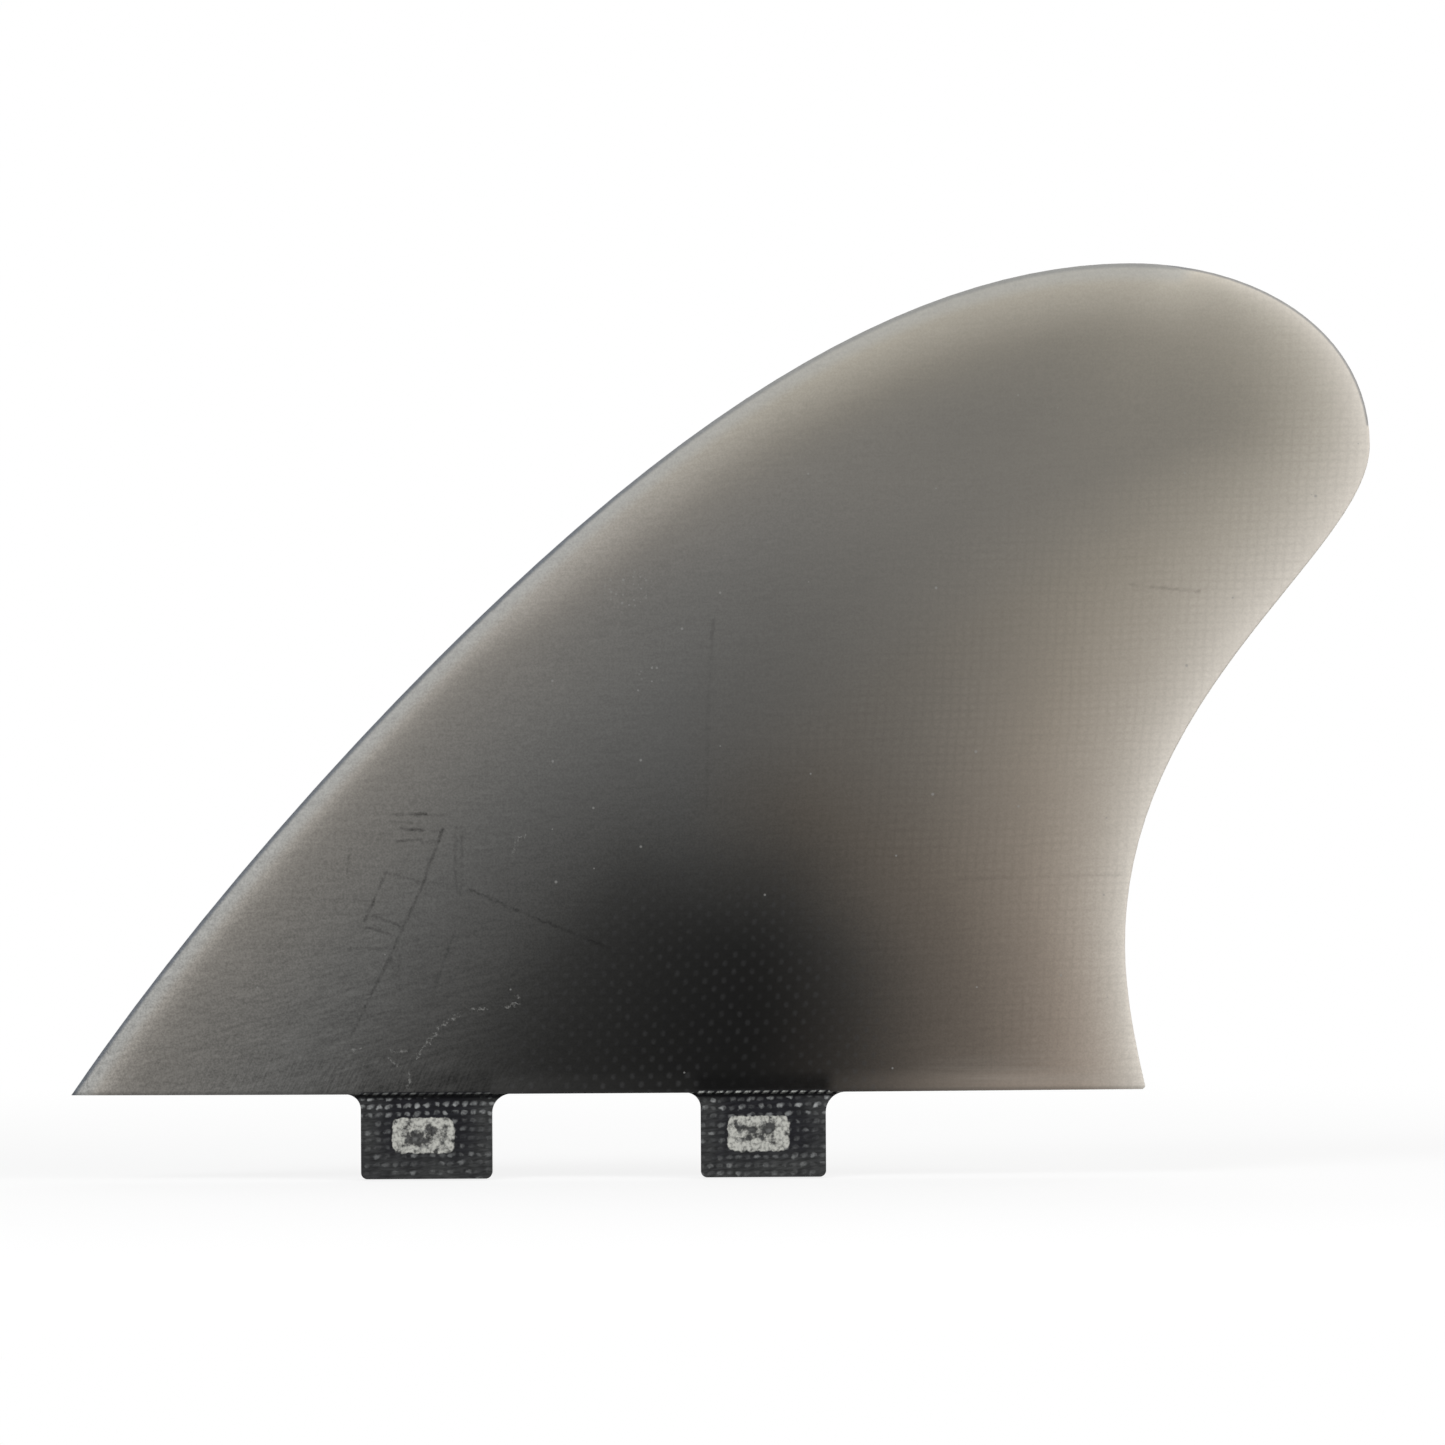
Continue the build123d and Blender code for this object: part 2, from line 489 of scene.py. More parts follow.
def backlit_smoke_tint_group(finish):
    """Colour of the smoked laminate at a depth: warmer towards the trailing edge, and cooler over the leading
    half and where it is dark, where a soft sheen is painted in.
    """
    tree, given, wanted = new_group(
        "Smoke Tint",
        (("Depth", "value"), ("Warmth", "value"), ("Height", "value")),
        (("Color", "colour"),),
    )
    # Painted light from behind: the brightness through the laminate, pale where thin and dark where thick
    brightness = calc(tree, "EXPONENT", calc(tree, "MULTIPLY", given["Depth"], -1.0))
    risen = step(tree, given["Height"], -20, 150)
    smoke = blended(tree, risen, colour(finish.base_tint), colour(finish.smoke_tint))
    warm = blended(tree, step(tree, given["Depth"], 0.4, 1.5), colour(finish.pale_tint), smoke)
    towards_tip = step(tree, given["Height"], 95, 140, 0.0, 0.75)
    thin = blended(tree, towards_tip, colour(finish.pale_tint), colour(finish.smoke_tint))
    cool = blended(tree, step(tree, given["Depth"], 1.5, 2.4), thin, colour(finish.sheen_tint))
    tint = blended(tree, given["Warmth"], cool, warm)
    # Painted sheen: the dark smoke, and the half-dark smoke above the base, take the cool sheen tint
    deep = step(tree, given["Depth"], 1.9, 4.2, 0.0, step(tree, given["Height"], 4, 30, 0.35, 0.75))
    half_dark = step(tree, given["Depth"], 1.3, 2.3, 0.0, 0.4)
    above_base = calc(tree, "MULTIPLY", half_dark, step(tree, given["Height"], 35, 75))
    tint = blended(tree, calc(tree, "MAXIMUM", deep, above_base), tint, colour(finish.sheen_tint))
    grey = joined(tree, brightness, brightness, brightness)
    feed(tree, wanted["Color"], blended(tree, 1.0, grey, tint, mode="MULTIPLY"))
    return tree


def woven_cloth_group():
    """Plain weave: dots where the upright threads lie on top, dots where the level ones do, and the grid."""
    tree, given, wanted = new_group(
        "Woven Cloth",
        (("Place", "vector"), ("Warp", "value"), ("Weft", "value"), ("Unevenness", "value")),
        (("Tall", "value"), ("Over", "value"), ("Under", "value"), ("Grid", "value"), ("Threads", "value")),
    )
    across, _, up = split(tree, given["Place"])
    slow = calc(tree, "MULTIPLY", calc(tree, "SUBTRACT", noise(tree, given["Place"], 0.06, 1.0), 0.5), 0.8)
    quick = calc(tree, "SUBTRACT", noise(tree, given["Place"], 0.8, 2.0), 0.5)
    drift = calc(tree, "MULTIPLY_ADD", quick, given["Unevenness"], slow)
    leaned = calc(tree, "MULTIPLY_ADD", up, -0.073, across)
    tilted = calc(tree, "MULTIPLY_ADD", across, -0.017, up)
    warp = calc(tree, "ADD", calc(tree, "DIVIDE", leaned, given["Warp"]), drift)
    weft = calc(tree, "ADD", calc(tree, "DIVIDE", tilted, given["Weft"]), drift)
    warp_wave = calc(tree, "COSINE", calc(tree, "MULTIPLY", warp, math.pi))
    weft_wave = calc(tree, "COSINE", calc(tree, "MULTIPLY", weft, math.pi))
    weave = calc(tree, "MULTIPLY", warp_wave, weft_wave)
    flat_dot = calc(tree, "MULTIPLY", weave, calc(tree, "ABSOLUTE", weft_wave))
    tall_dot = calc(tree, "MULTIPLY", weave, calc(tree, "ABSOLUTE", warp_wave))
    feed(tree, wanted["Tall"], step(tree, tall_dot, 0.02, 1.0))
    feed(tree, wanted["Over"], step(tree, flat_dot, 0.2, 0.9))
    feed(tree, wanted["Under"], step(tree, flat_dot, -0.2, -0.9))
    warp_line = calc(tree, "POWER", calc(tree, "ABSOLUTE", warp_wave), 0.8)
    weft_line = calc(tree, "POWER", calc(tree, "ABSOLUTE", weft_wave), 0.8)
    feed(tree, wanted["Grid"], calc(tree, "MULTIPLY", warp_line, weft_line))
    feed(tree, wanted["Threads"], calc(tree, "MULTIPLY_ADD", weave, 0.5, 0.5))
    return tree


def brushed_group():
    """Fine streaks along one direction, from -1 to 1."""
    tree, given, wanted = new_group(
        "Brushed",
        (("Place", "vector"), ("Angle", "value"), ("Length", "value"), ("Fineness", "value")),
        (("Streak", "value"),),
    )
    across, _, up = split(tree, given["Place"])
    cosine = calc(tree, "COSINE", given["Angle"])
    sine = calc(tree, "SINE", given["Angle"])
    along = calc(tree, "ADD", calc(tree, "MULTIPLY", across, cosine), calc(tree, "MULTIPLY", up, sine))
    aside = calc(tree, "SUBTRACT", calc(tree, "MULTIPLY", up, cosine), calc(tree, "MULTIPLY", across, sine))
    stretched = joined(
        tree,
        calc(tree, "DIVIDE", along, given["Length"]),
        calc(tree, "MULTIPLY", aside, given["Fineness"]),
        given["Angle"],
    )
    feed(tree, wanted["Streak"], step(tree, noise(tree, stretched, 1.0, 3.0, 0.6), 0.2, 0.8, -1.0, 1.0))
    return tree


def speck_group():
    """Small round specks, strewn over a share of evenly sized cells."""
    tree, given, wanted = new_group(
        "Specks",
        (("Place", "vector"), ("Spacing", "value"), ("Size", "value"), ("Share", "value")),
        (("Mask", "value"),),
    )
    across, _, up = split(tree, given["Place"])
    cells = tree.nodes.new("ShaderNodeTexVoronoi")
    cells.voronoi_dimensions = "2D"
    cells.inputs["Scale"].default_value = 1.0
    spread = joined(
        tree,
        calc(tree, "DIVIDE", across, given["Spacing"]),
        calc(tree, "DIVIDE", up, given["Spacing"]),
        0.0,
    )
    feed(tree, cells.inputs["Vector"], spread)
    chance, sort, _ = split(tree, cells.outputs["Color"])
    distance = calc(tree, "MULTIPLY", cells.outputs["Distance"], given["Spacing"])
    reach = calc(tree, "MULTIPLY", given["Size"], calc(tree, "MULTIPLY_ADD", sort, 0.7, 0.4))
    dot = step(tree, distance, calc(tree, "MULTIPLY", reach, 0.4), reach, 1.0, 0.0)
    chosen = calc(tree, "LESS_THAN", chance, given["Share"])
    feed(tree, wanted["Mask"], calc(tree, "MULTIPLY", dot, chosen))
    return tree


def stroke_group():
    """Soft line between two points of the fin's plane."""
    tree, given, wanted = new_group(
        "Stroke",
        (("Place", "vector"), ("Start", "vector"), ("End", "vector"), ("Width", "value")),
        (("Mask", "value"),),
    )
    away = vector_calc(tree, "SUBTRACT", given["Place"], given["Start"])
    run = vector_calc(tree, "SUBTRACT", given["End"], given["Start"])
    travelled = vector_calc(tree, "DOT_PRODUCT", away, run)
    whole = vector_calc(tree, "DOT_PRODUCT", run, run)
    share = limited(tree, calc(tree, "DIVIDE", travelled, whole))
    distance = vector_calc(tree, "DISTANCE", away, scaled(tree, run, share))
    feed(tree, wanted["Mask"], step(tree, distance, 0.0, given["Width"], 1.0, 0.0))
    return tree


def drawn(tree, group, place, lines, width):
    """All the strokes of a list of lines, as one mask."""
    mask = None
    for line in lines:
        for start, end in zip(line, line[1:]):
            stroke = placed(
                tree,
                group,
                place=place,
                start=(start[0], 0, start[1]),
                end=(end[0], 0, end[1]),
                width=width,
            )["Mask"]
            mask = stroke if mask is None else calc(tree, "MAXIMUM", mask, stroke)
    return mask


def laminate_material(finish):
    """Smoked, woven glass laminate with sanded faces, bare cloth on the tabs, and its wear, with painted
    light from behind, painted sheen and painted shade.
    """
    material = bpy.data.materials.new("smoked laminate")
    material.use_nodes = True
    tree = material.node_tree
    shader = tree.nodes["Principled BSDF"]

    coordinates = tree.nodes.new("ShaderNodeTexCoord").outputs["Object"]
    place = scaled(tree, coordinates, 1 / MILLIMETRE)
    across, depthways, up = split(tree, place)
    plane = joined(tree, across, 0.0, up)

    lead_node = tree.nodes.new("ShaderNodeAttribute")
    lead_node.attribute_name = "lead_distance"
    trail_node = tree.nodes.new("ShaderNodeAttribute")
    trail_node.attribute_name = "trail_distance"
    lead, trail = lead_node.outputs["Fac"], trail_node.outputs["Fac"]

    # 1 all over except on the flat inner face, which has none of the marks
    foiled_side = step(tree, depthways, 3.45, 3.6, 1.0, 0.0)

    # Smoke, with light from behind painted in: pale where thin, dark where thick
    depth, warmth = placed(tree, backlit_smoke_depth_group(), lead=lead, trail=trail, height=up)
    mottle = calc(tree, "SUBTRACT", noise(tree, place, 0.035, 3.0), 0.5)
    depth = calc(tree, "MULTIPLY_ADD", mottle, 0.12, depth)
    base = placed(tree, backlit_smoke_tint_group(finish), depth=depth, warmth=warmth, height=up)["Color"]

    # Sanded band, painted pale as a sheen and as light through the thin edge, and a dark line along the
    # leading edge and round the tip
    band = calc(tree, "MULTIPLY", step(tree, lead, 1.5, 4.2, 1.0, 0.0), step(tree, up, 100, 140, 0.7, 0.55))
    base = blended(tree, band, base, colour(finish.bevel_sheen_colour))
    towards_tip = step(tree, up, 100, 145, 1.0, 0.45)
    lead_line = calc(tree, "MULTIPLY", step(tree, lead, 0.35, 1.1, 1.0, 0.0), towards_tip)
    tip_line = calc(tree, "MULTIPLY", step(tree, trail, 0.2, 0.6, 0.75, 0.0), step(tree, up, 124.8, 125.4))
    rim_line = calc(tree, "MAXIMUM", lead_line, tip_line)
    base = blended(tree, calc(tree, "MULTIPLY", rim_line, 0.85), base, colour(finish.rim_colour))

    # Weave: pale dots deep in the smoke, and a faint grid where the laminate is thin
    cloth_group = woven_cloth_group()
    warp, weft = finish.warp_pitch / MILLIMETRE, finish.weft_pitch / MILLIMETRE
    cloth = placed(tree, cloth_group, place=place, warp=warp, weft=weft, unevenness=0.25)
    light_patches = step(tree, noise(tree, place, 0.16, 4.0, 0.65), 0.26, 0.62)
    deep = step(tree, depth, 2.4, 3.5)
    dots = calc(tree, "MULTIPLY", cloth["Tall"], calc(tree, "MULTIPLY", light_patches, deep))
    base = blended(tree, calc(tree, "MULTIPLY", dots, 0.38), base, colour(DOT_COLOUR))
    thin = calc(tree, "MULTIPLY", step(tree, warmth, 0.3, 0.9), step(tree, depth, 4.4, 2.6))
    patchy = step(tree, noise(tree, place, 0.08, 2.0), 0.3, 0.65, 0.35, 1.0)
    shown = calc(tree, "MULTIPLY", thin, patchy)
    grid = calc(tree, "MULTIPLY", calc(tree, "SUBTRACT", cloth["Grid"], 0.4), shown)

    # Sanding grain and fine pitting, low slanted brushing behind the nose and steep hatching at its base
    brushed = brushed_group()
    level = placed(tree, brushed, place=place, angle=0.0, length=9.0, fineness=1.4)["Streak"]
    slanted = placed(tree, brushed, place=place, angle=1.1, length=3.5, fineness=2.4)["Streak"]
    rising = placed(tree, brushed, place=place, angle=0.28, length=7.0, fineness=1.5)["Streak"]
    near_nose = calc(tree, "MULTIPLY", step(tree, across, 5, -30), step(tree, across, -80, -48, 0.35, 1.0))
    pits = step(tree, noise(tree, place, 1.1, 2.0, 0.6), 0.25, 0.75, -1.0, 1.0)
    dust = step(tree, noise(tree, place, 2.7, 1.0), 0.25, 0.75, -1.0, 1.0)
    towards_nose = step(tree, across, 80, -50, 0.5, 1.25)
    rougher = calc(tree, "MULTIPLY", towards_nose, step(tree, up, 15, 80, 1.1, 0.7))
    grain = 0.0
    for effect, strength in ((level, 0.055), (rising, 0.04), (pits, 0.05), (dust, 0.11)):
        grain = calc(tree, "MULTIPLY_ADD", effect, strength, grain)
    shade = calc(tree, "MULTIPLY", grain, rougher)
    rising_share = step(tree, up, 40, 2, 0.0, 0.15)
    slanted_share = step(tree, up, 13, 1, 0.0, 0.3)
    crossed = calc(tree, "MULTIPLY", slanted, slanted_share)
    crossed = calc(tree, "MULTIPLY_ADD", rising, rising_share, crossed)
    shade = calc(tree, "MULTIPLY_ADD", crossed, near_nose, shade)
    shade = calc(tree, "MULTIPLY_ADD", grid, 0.085, shade)

    # Painted shade: the lowest band is darker over the tabs, and paler between and behind them
    from_tab = calc(tree, "SUBTRACT", calc(tree, "ABSOLUTE", across), THREAD_ROW_MIDDLE)
    from_tab = calc(tree, "ABSOLUTE", from_tab)
    over_tab = step(tree, from_tab, 14, 11)
    paler = calc(tree, "MULTIPLY", step(tree, across, -30, -15, 0.0, 0.45), step(tree, across, 94, 76))
    darker = step(tree, across, -25, 25, -0.24, -0.75)
    band_shade = blended(tree, over_tab, paler, darker, kind="FLOAT")
    shade = calc(tree, "MULTIPLY_ADD", band_shade, step(tree, up, 5.0, 1.8), shade)

    # Scratches darken and scuffs lighten the foiled side
    wobble = calc(tree, "SUBTRACT", noise(tree, place, 0.8, 4.0, 0.65), 0.5)
    shake = scaled(tree, (1.0, 0.0, 0.7), calc(tree, "MULTIPLY", wobble, 1.5))
    shaken = vector_calc(tree, "ADD", plane, shake)
    stroke = stroke_group()
    breaks = step(tree, noise(tree, place, 0.5, 3.0), 0.3, 0.6, 0.35, 1.0)
    scratched = 0.0
    for lines, width, strength in SCRATCH_KINDS:
        strokes = drawn(tree, stroke, shaken, lines, width)
        scratched = calc(tree, "MULTIPLY_ADD", strokes, strength, scratched)
    scratched = calc(tree, "MULTIPLY", calc(tree, "MULTIPLY", scratched, breaks), foiled_side)
    gain = calc(tree, "SUBTRACT", calc(tree, "ADD", shade, 1.0), scratched)
    base = blended(tree, 1.0, base, joined(tree, gain, gain, gain), mode="MULTIPLY")
    ticks = step(tree, noise(tree, place, 1.7, 3.0, 0.6), 0.44, 0.62, 0.05, 1.0)
    tear = scaled(tree, (1.0, 0.0, -0.8), calc(tree, "MULTIPLY", wobble, 3.6))
    torn = vector_calc(tree, "ADD", plane, tear)
    pale = calc(tree, "MULTIPLY", drawn(tree, stroke, torn, LIGHT_SCUFFS, 0.45), ticks)
    specks = speck_group()
    strewn = placed(tree, specks, place=place, spacing=8.0, size=0.34, share=0.14)["Mask"]
    close = placed(tree, specks, place=place, spacing=1.1, size=0.32, share=0.45)["Mask"]
    clusters = None
    for aft, height, reach in SPECK_CLUSTERS:
        distance = vector_calc(tree, "DISTANCE", plane, (aft, 0.0, height))
        cluster = step(tree, distance, reach * 0.3, reach, 1.0, 0.0)
        clusters = cluster if clusters is None else calc(tree, "MAXIMUM", clusters, cluster)
    specked = calc(tree, "MAXIMUM", strewn, calc(tree, "MULTIPLY", close, clusters))
    pale = calc(tree, "MAXIMUM", pale, specked)
    pale = calc(tree, "MULTIPLY", calc(tree, "MULTIPLY", pale, foiled_side), 0.6)
    base = blended(tree, pale, base, colour(SCUFF_COLOUR))

    # Light sanded streaks over the base line behind the rear tab, and a dark edge all along it
    aft_part = step(tree, across, 54, 80)
    streaks = placed(tree, brushed, place=place, angle=0.0, length=40.0, fineness=0.7)["Streak"]
    low_band = calc(tree, "MULTIPLY", step(tree, up, 9.0, 3.0), aft_part)
    lightened = calc(tree, "MULTIPLY", calc(tree, "MULTIPLY_ADD", streaks, 0.5, 0.4), low_band)
    base = blended(tree, calc(tree, "MULTIPLY", lightened, 0.24), base, colour(BASE_STREAK_COLOUR))
    base_edge = step(tree, up, 0.9, 0.2, 0.0, 0.35)
    base = blended(tree, base_edge, base, colour(BASE_EDGE_COLOUR))

    # Tabs
    row_top = step(tree, from_tab, 12.1, 12.6, 0.45, 0.0)
    tab_mask = step(tree, calc(tree, "SUBTRACT", up, row_top), -0.1, 0.1, 1.0, 0.0)
    tabs = tab_colour(tree, finish, place, across, depthways, up, cloth_group, brushed)
    base = blended(tree, tab_mask, base, tabs)

    feed(tree, shader.inputs["Base Color"], base)
    rough = calc(tree, "MULTIPLY_ADD", calc(tree, "ADD", level, pits), 0.02, finish.roughness)
    rough = blended(tree, tab_mask, rough, 0.5, kind="FLOAT")
    feed(tree, shader.inputs["Roughness"], rough)
    shader.inputs["Specular IOR Level"].default_value = 0.08

    relief = calc(tree, "MULTIPLY_ADD", cloth["Threads"], 0.25, calc(tree, "MULTIPLY", pits, 0.3))
    bump = tree.nodes.new("ShaderNodeBump")
    bump.inputs["Strength"].default_value = 0.25
    bump.inputs["Distance"].default_value = 0.05 * MILLIMETRE
    feed(tree, bump.inputs["Height"], relief)
    feed(tree, shader.inputs["Normal"], bump.outputs[0])
    return material


def tab_colour(tree, finish, place, across, depthways, up, cloth_group, brushed):
    """Bare cloth of the tabs: threads that show through dark resin, cut thread ends and a plain patch."""
    front_or_rear = calc(tree, "SIGN", across)
    warp, weft = finish.warp_pitch / MILLIMETRE, finish.weft_pitch / MILLIMETRE
    cloth = placed(tree, cloth_group, place=place, warp=warp, weft=weft, unevenness=0.8)
    from_centre = calc(tree, "ABSOLUTE", calc(tree, "SUBTRACT", calc(tree, "ABSOLUTE", across), TAB_MIDDLE))

    # Dull margins round a darker middle
    fibres = placed(tree, brushed, place=place, angle=0.1, length=2.2, fineness=2.2)["Streak"]
    margin = calc(tree, "MAXIMUM", step(tree, from_centre, 5.5, 11.5), step(tree, up, -9.0, -14.5))
    margin = calc(tree, "MULTIPLY", margin, step(tree, noise(tree, place, 0.18, 2.0), 0.3, 0.6, 0.45, 1.0))
    ground = blended(tree, margin, colour(finish.tab_ground), colour(TAB_MARGIN_COLOUR))
    haze = calc(tree, "MULTIPLY_ADD", fibres, 0.5, 1.0)
    ground = blended(tree, 1.0, ground, joined(tree, haze, haze, haze), mode="MULTIPLY")

    # Threads, brightest in the rows under the base line
    patches = step(tree, noise(tree, place, 0.3, 3.0), 0.34, 0.66, 0.15, 1.0)
    top_rows = step(tree, up, -6.0, -2.6)
    in_front = step(tree, across, 5.0, -5.0)
    patchiness = calc(tree, "MULTIPLY", patches, 0.5)
    over = calc(tree, "MULTIPLY", cloth["Over"], calc(tree, "MAXIMUM", patchiness, top_rows))
    both = calc(tree, "MULTIPLY", top_rows, calc(tree, "MULTIPLY_ADD", in_front, 0.6, 0.2))
    fainter = calc(tree, "MAXIMUM", calc(tree, "MULTIPLY", patchiness, 0.45), both)
    under = calc(tree, "MULTIPLY", cloth["Under"], fainter)
    uneven = step(tree, noise(tree, place, 0.8, 3.0, 0.6), 0.3, 0.68, 0.15, 1.0)
    threads = calc(tree, "MULTIPLY", calc(tree, "ADD", over, under), uneven)
    cloth_colour = blended(tree, limited(tree, threads), ground, colour(finish.tab_thread))

    # Row of cut thread ends along the base line
    slanted = calc(tree, "MULTIPLY_ADD", up, -0.9, across)
    turn = calc(tree, "FRACT", calc(tree, "DIVIDE", slanted, warp))
    dash = calc(tree, "MULTIPLY", step(tree, turn, 0.02, 0.2), step(tree, turn, 0.55, 0.8, 1.0, 0.0))
    row = calc(tree, "MULTIPLY", step(tree, up, -0.4, -0.15), step(tree, up, 0.2, 0.42, 1.0, 0.0))
    shadow = step(tree, up, -1.05, -0.6, 0.0, 0.92)
    cloth_colour = blended(tree, shadow, cloth_colour, colour(ROW_SHADOW_COLOUR))
    dimmer_in_front = calc(tree, "MULTIPLY_ADD", in_front, -0.75, 1.0)
    brightness = calc(tree, "MULTIPLY", uneven, dimmer_in_front)
    ends = calc(tree, "MULTIPLY", calc(tree, "MULTIPLY", dash, row), brightness)
    cloth_colour = blended(tree, ends, cloth_colour, colour(THREAD_END_COLOUR))

    # Plain patch on the foiled side of each tab, with rounded corners and most worn in its middle
    outer = step(tree, depthways, -3.0, -2.6, 1.0, 0.0)
    ragged = calc(tree, "SUBTRACT", noise(tree, place, 0.9, 3.0), 0.5)
    inset = step(tree, across, 5.0, -5.0, 0.9, 0.6)
    sideways = calc(tree, "ADD", calc(tree, "ABSOLUTE", across), calc(tree, "MULTIPLY", inset, front_or_rear))
    from_middle = calc(tree, "ABSOLUTE", calc(tree, "SUBTRACT", sideways, TAB_MIDDLE))
    from_level = calc(tree, "ABSOLUTE", calc(tree, "ADD", up, 7.8))
    past_side = calc(tree, "MAXIMUM", calc(tree, "SUBTRACT", from_middle, 4.3), 0.0)
    past_end = calc(tree, "MAXIMUM", calc(tree, "SUBTRACT", from_level, 1.8), 0.0)
    corner = vector_calc(tree, "LENGTH", joined(tree, past_side, past_end, 0.0))
    outside = calc(tree, "MULTIPLY_ADD", ragged, 1.0, corner)
    patch = step(tree, outside, 1.35, 1.65, 1.0, 0.0)
    middle = calc(tree, "MULTIPLY", step(tree, from_middle, 4.6, 2.2), step(tree, from_level, 2.6, 0.8))
    worn = calc(tree, "MULTIPLY_ADD", middle, 0.16, noise(tree, place, 0.55, 3.0, 0.6))
    left = step(tree, worn, 0.5, 0.68, 1.0, 0.1)
    flaked = step(tree, noise(tree, place, 1.6, 2.0), 0.3, 0.6, 0.45, 1.0)
    patch = calc(tree, "MULTIPLY", calc(tree, "MULTIPLY", patch, calc(tree, "MULTIPLY", left, flaked)), outer)
    return blended(tree, patch, cloth_colour, colour(finish.patch_colour))


# Mesh work


def deselect_all():
    if bpy.context.mode != "OBJECT":
        bpy.ops.object.mode_set(mode="OBJECT")
    bpy.ops.object.select_all(action="DESELECT")


def take_up(piece):
    """Makes this the only selected object and the active one."""
    deselect_all()
    bpy.context.view_layer.objects.active = piece
    piece.select_set(True)


def select_parts(piece, kind, wanted):
    """Selects the vertices, edges or faces that pass a test, and nothing else."""
    take_up(piece)
    bpy.ops.object.mode_set(mode="EDIT")
    bpy.ops.mesh.select_mode(type={"vertices": "VERT", "edges": "EDGE", "polygons": "FACE"}[kind])
    bpy.ops.mesh.select_all(action="DESELECT")
    bpy.ops.object.mode_set(mode="OBJECT")
    for part in getattr(piece.data, kind):
        part.select = wanted(part)
    bpy.ops.object.mode_set(mode="EDIT")


def cut_into_cells(piece, cell):
    """Cuts the mesh along evenly spaced planes across the fin, upright and level."""
    lowest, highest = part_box(NODE)
    take_up(piece)
    bpy.ops.object.mode_set(mode="EDIT")
    for axis in (0, 2):
        normal = Vector((axis == 0, 0, axis == 2))
        for turn in range(math.floor(lowest[axis] / cell), math.ceil(highest[axis] / cell)):
            bpy.ops.mesh.select_all(action="SELECT")
            place = normal * (turn + 0.5) * cell
            bpy.ops.mesh.bisect(plane_co=place, plane_no=normal, threshold=1e-7)
    bpy.ops.object.mode_set(mode="OBJECT")


def on_same_cut(first, second, cell):
    """Whether two points lie on one of the cutting planes."""
    for axis in (0, 2):
        a = first[axis] / cell - 0.5
        b = second[axis] / cell - 0.5
        if abs(a - round(a)) < 0.002 and abs(a - b) < 0.002:
            return True
    return False


def rim_ribbon(piece, leading):
    """The flat of the rim drawn out across the fin, so that distances are measured in the fin's plane."""
    corners = []
    faces = []
    for face in piece.data.polygons:
        if abs(face.normal.y) > RIM_TURN or face.center.z < 0.01 * MILLIMETRE:
            continue
        over_the_top = face.center.x < TIP_TOP_AFT and face.center.z > TIP_TOP_HEIGHT
        if (face.normal.x < 0 or over_the_top) != leading:
            continue
        for first, second in face.edge_keys:
            a = piece.data.vertices[first].co
            b = piece.data.vertices[second].co
            if math.hypot(a.x - b.x, a.z - b.z) > 1e-6:
                start = len(corners)
                corners += [(a.x, -1, a.z), (b.x, -1, b.z), (b.x, 1, b.z), (a.x, 1, a.z)]
                faces.append(tuple(range(start, start + 4)))
    return BVHTree.FromPolygons(corners, faces)


def store_distances(piece, ribbons):
    """Keeps each point's distance from the leading and trailing rim, in millimetres, as attributes."""
    for name, ribbon in ribbons.items():
        attribute = piece.data.attributes.new(name, "FLOAT", "POINT")
        for vertex, item in zip(piece.data.vertices, attribute.data):
            item.value = ribbon.find_nearest(vertex.co)[3] / MILLIMETRE


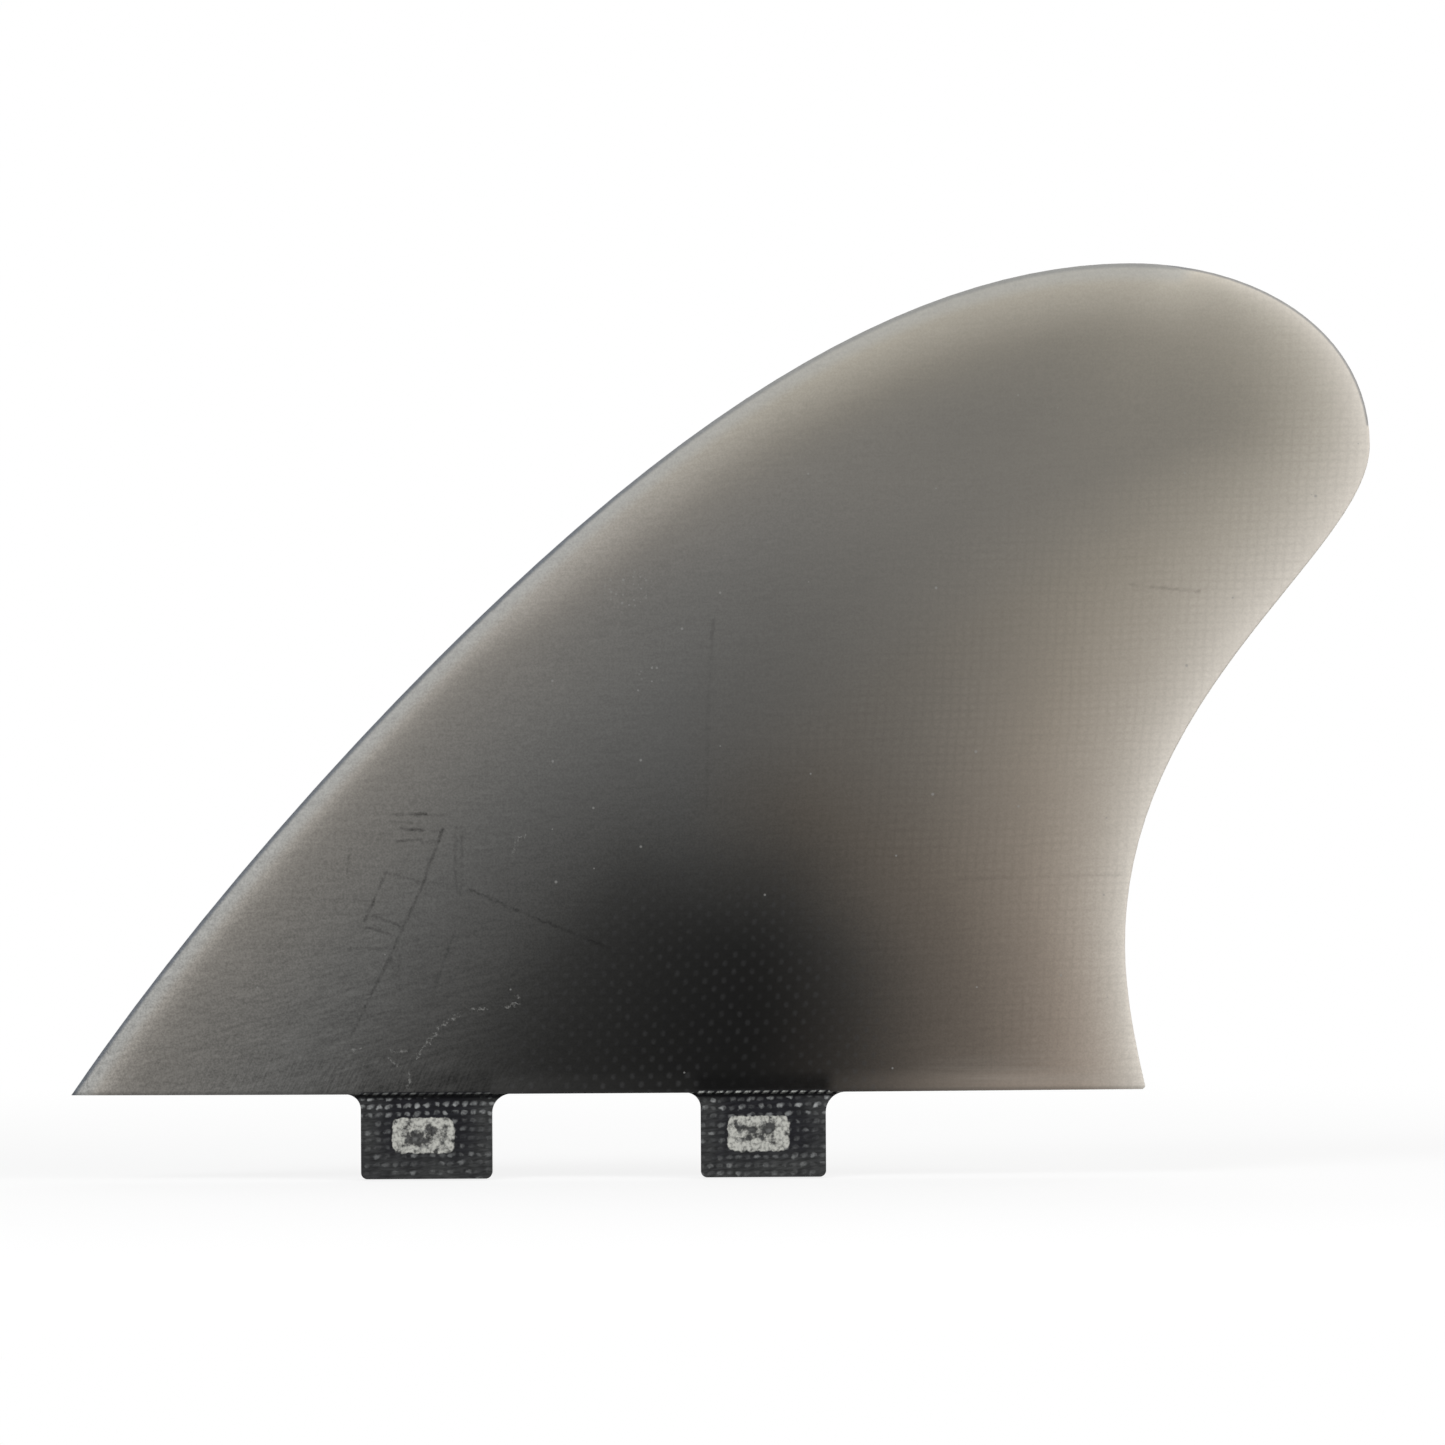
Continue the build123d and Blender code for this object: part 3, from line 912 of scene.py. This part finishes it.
class FIN_OT_laminate(bpy.types.Operator):
    """Makes the fin's one piece: a copy of its solid, evenly divided, faired and finished"""

    bl_idname = "fin.laminate"
    bl_label = "Make the Laminate"

    def execute(self, context):
        shape = context.scene.fin_shape
        cell = shape.cell
        piece = bpy.data.objects.new("laminate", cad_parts[NODE].data.copy())
        piece.data.name = "laminate"
        context.scene.collection.objects.link(piece)
        take_up(piece)
        bpy.ops.mesh.customdata_custom_splitnormals_clear()
        bpy.ops.object.mode_set(mode="EDIT")
        bpy.ops.mesh.select_all(action="SELECT")
        bpy.ops.mesh.remove_doubles(threshold=1e-6)
        bpy.ops.object.mode_set(mode="OBJECT")

        ribbons = {
            "lead_distance": rim_ribbon(piece, leading=True),
            "trail_distance": rim_ribbon(piece, leading=False),
        }
        cut_into_cells(piece, cell)

        def inside(point, margin):
            return min(ribbon.find_nearest(point)[3] for ribbon in ribbons.values()) > margin

        # The sharp corner of the heel is broken off
        heel = max((point.co for point in piece.data.vertices if abs(point.co.z) < 1e-6), key=lambda co: co.x)
        across_corner = Vector(HEEL_CUT).normalized()
        take_up(piece)
        bpy.ops.object.mode_set(mode="EDIT")
        bpy.ops.mesh.select_all(action="SELECT")
        bpy.ops.mesh.bisect(
            plane_co=heel - across_corner * shape.heel_chip,
            plane_no=across_corner,
            clear_outer=True,
            use_fill=True,
        )
        bpy.ops.object.mode_set(mode="OBJECT")

        # The solid's own triangles are dissolved on the broad faces, which leaves even cells
        broad = {}
        for face in piece.data.polygons:
            for key in face.edge_keys:
                broad[key] = broad.get(key, True) and abs(face.normal.y) > BROAD_TURN and face.center.z > 0
        points = piece.data.vertices

        def inner_edge(edge):
            a, b = (points[i].co for i in edge.vertices)
            if not broad.get(edge.key) or on_same_cut(a, b, cell):
                return False
            return inside(a, RIM_KEPT) and inside(b, RIM_KEPT) and min(a.z, b.z) > 1e-6

        select_parts(piece, "edges", inner_edge)
        bpy.ops.mesh.dissolve_edges(use_verts=True)
        bpy.ops.object.mode_set(mode="OBJECT")

        # Fairing moves points across the fin only
        def faired(vertex):
            foiled = vertex.normal.y < -BROAD_TURN and vertex.co.z > 0.2 * cell
            return foiled and inside(vertex.co, shape.edge_kept)

        select_parts(piece, "vertices", faired)
        bpy.ops.mesh.vertices_smooth(
            factor=0.5, repeat=shape.fairing_passes, xaxis=False, yaxis=True, zaxis=False
        )
        bpy.ops.object.mode_set(mode="OBJECT")

        store_distances(piece, ribbons)
        take_up(piece)
        bpy.ops.object.shade_smooth_by_angle(angle=shape.smooth_angle)
        piece.data.materials.clear()
        piece.data.materials.append(laminate_material(context.scene.fin_finish))
        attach(piece, "root")
        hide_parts(NODE)
        triangles = sum(len(face.vertices) - 2 for face in piece.data.polygons)
        print("laminate:", len(piece.data.vertices), "points,", triangles, "triangles")
        return {"FINISHED"}


def area_lamp(name, place, size, power, tone):
    deselect_all()
    bpy.ops.object.light_add(type="AREA", location=place)
    lamp = bpy.context.object
    lamp.name = name
    lamp.rotation_euler = (Vector(AIM) - Vector(place)).to_track_quat("-Z", "Y").to_euler()
    lamp.data.shape = "RECTANGLE"
    lamp.data.size = size
    lamp.data.size_y = size
    lamp.data.energy = power
    lamp.data.color = tone
    lamp.visible_camera = False


def seen_directly(tree):
    """1 where a ray from the camera, a reflection or a transmission arrives, and 0 for light that spreads."""
    path = tree.nodes.new("ShaderNodeLightPath").outputs
    mirrored = calc(tree, "MAXIMUM", path["Is Glossy Ray"], path["Is Transmission Ray"])
    return calc(tree, "MAXIMUM", path["Is Camera Ray"], mirrored)


class FIN_OT_studio(bpy.types.Operator):
    """Makes the pale floor, the white surroundings, the soft lamps and the camera"""

    bl_idname = "fin.studio"
    bl_label = "Make the Studio"

    def execute(self, context):
        studio = context.scene.fin_studio
        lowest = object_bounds()[0]
        deselect_all()
        bpy.ops.mesh.primitive_plane_add(size=FLOOR_SIZE, location=(0, 0, lowest.z - FLOOR_DROP))
        floor = context.object
        floor.name = "floor"
        material = bpy.data.materials.new("pale floor")
        material.use_nodes = True
        tree = material.node_tree
        tree.nodes.clear()
        matt = tree.nodes.new("ShaderNodeBsdfDiffuse")
        matt.inputs["Color"].default_value = (0.9, 0.9, 0.9, 1)
        glow = tree.nodes.new("ShaderNodeEmission")
        glow.inputs["Color"].default_value = (1, 1, 1, 1)
        feed(tree, glow.inputs["Strength"], seen_directly(tree))
        mixed = tree.nodes.new("ShaderNodeMixShader")
        place = tree.nodes.new("ShaderNodeTexCoord").outputs["Object"]
        far = step(tree, vector_calc(tree, "LENGTH", place), 0.2, 0.7, 0.78, 1.0)
        feed(tree, mixed.inputs[0], far)
        tree.links.new(matt.outputs[0], mixed.inputs[1])
        tree.links.new(glow.outputs[0], mixed.inputs[2])
        finish = tree.nodes.new("ShaderNodeOutputMaterial")
        tree.links.new(mixed.outputs[0], finish.inputs[0])
        floor.data.materials.append(material)
        floor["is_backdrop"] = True

        world = bpy.data.worlds.new("white surroundings")
        context.scene.world = world
        world.use_nodes = True
        tree = world.node_tree
        sky = tree.nodes["Background"]
        sky.inputs["Color"].default_value = (1, 1, 1, 1)
        seen = seen_directly(tree)
        feed(tree, sky.inputs["Strength"], blended(tree, seen, studio.sky_strength, 1.0, kind="FLOAT"))

        for name, place, size, share, tone in LAMPS:
            area_lamp(name, place, size, studio.lamp_power * share, tone)

        distance = studio.camera_distance
        bpy.ops.object.camera_add(
            location=(AIM[0], FRAME_PLANE - distance, AIM[2]),
            rotation=(math.radians(90), studio.camera_roll, 0),
        )
        camera = context.object
        camera.name = "camera"
        camera.data.sensor_width = SENSOR_WIDTH
        camera.data.lens = SENSOR_WIDTH * distance / studio.frame_width
        context.scene.camera = camera
        context.scene.view_settings.view_transform = "Standard"
        deselect_all()
        return {"FINISHED"}


class FIN_PT_panel(bpy.types.Panel):
    """Lists the fin's settings and operators"""

    bl_idname = "FIN_PT_panel"
    bl_label = "Surfboard Fin"
    bl_space_type = "VIEW_3D"
    bl_region_type = "UI"
    bl_category = "Surfboard Fin"

    def draw(self, context):
        scene = context.scene
        for title, settings, operator in (
            ("Shape", scene.fin_shape, None),
            ("Finish", scene.fin_finish, FIN_OT_laminate.bl_idname),
            ("Studio", scene.fin_studio, FIN_OT_studio.bl_idname),
        ):
            box = self.layout.box()
            box.label(text=title)
            for name in settings.__annotations__:
                box.prop(settings, name)
            if operator:
                box.operator(operator)


CLASSES = (FinShape, FinFinish, Studio, FIN_OT_laminate, FIN_OT_studio, FIN_PT_panel)


def register():
    for cls in CLASSES:
        bpy.utils.register_class(cls)
    bpy.types.Scene.fin_shape = PointerProperty(type=FinShape)
    bpy.types.Scene.fin_finish = PointerProperty(type=FinFinish)
    bpy.types.Scene.fin_studio = PointerProperty(type=Studio)


def unregister():
    del bpy.types.Scene.fin_studio
    del bpy.types.Scene.fin_finish
    del bpy.types.Scene.fin_shape
    for cls in reversed(CLASSES):
        bpy.utils.unregister_class(cls)


def main():
    register()
    bpy.ops.fin.laminate()
    bpy.ops.fin.studio()


if __name__ == "__main__":
    main()
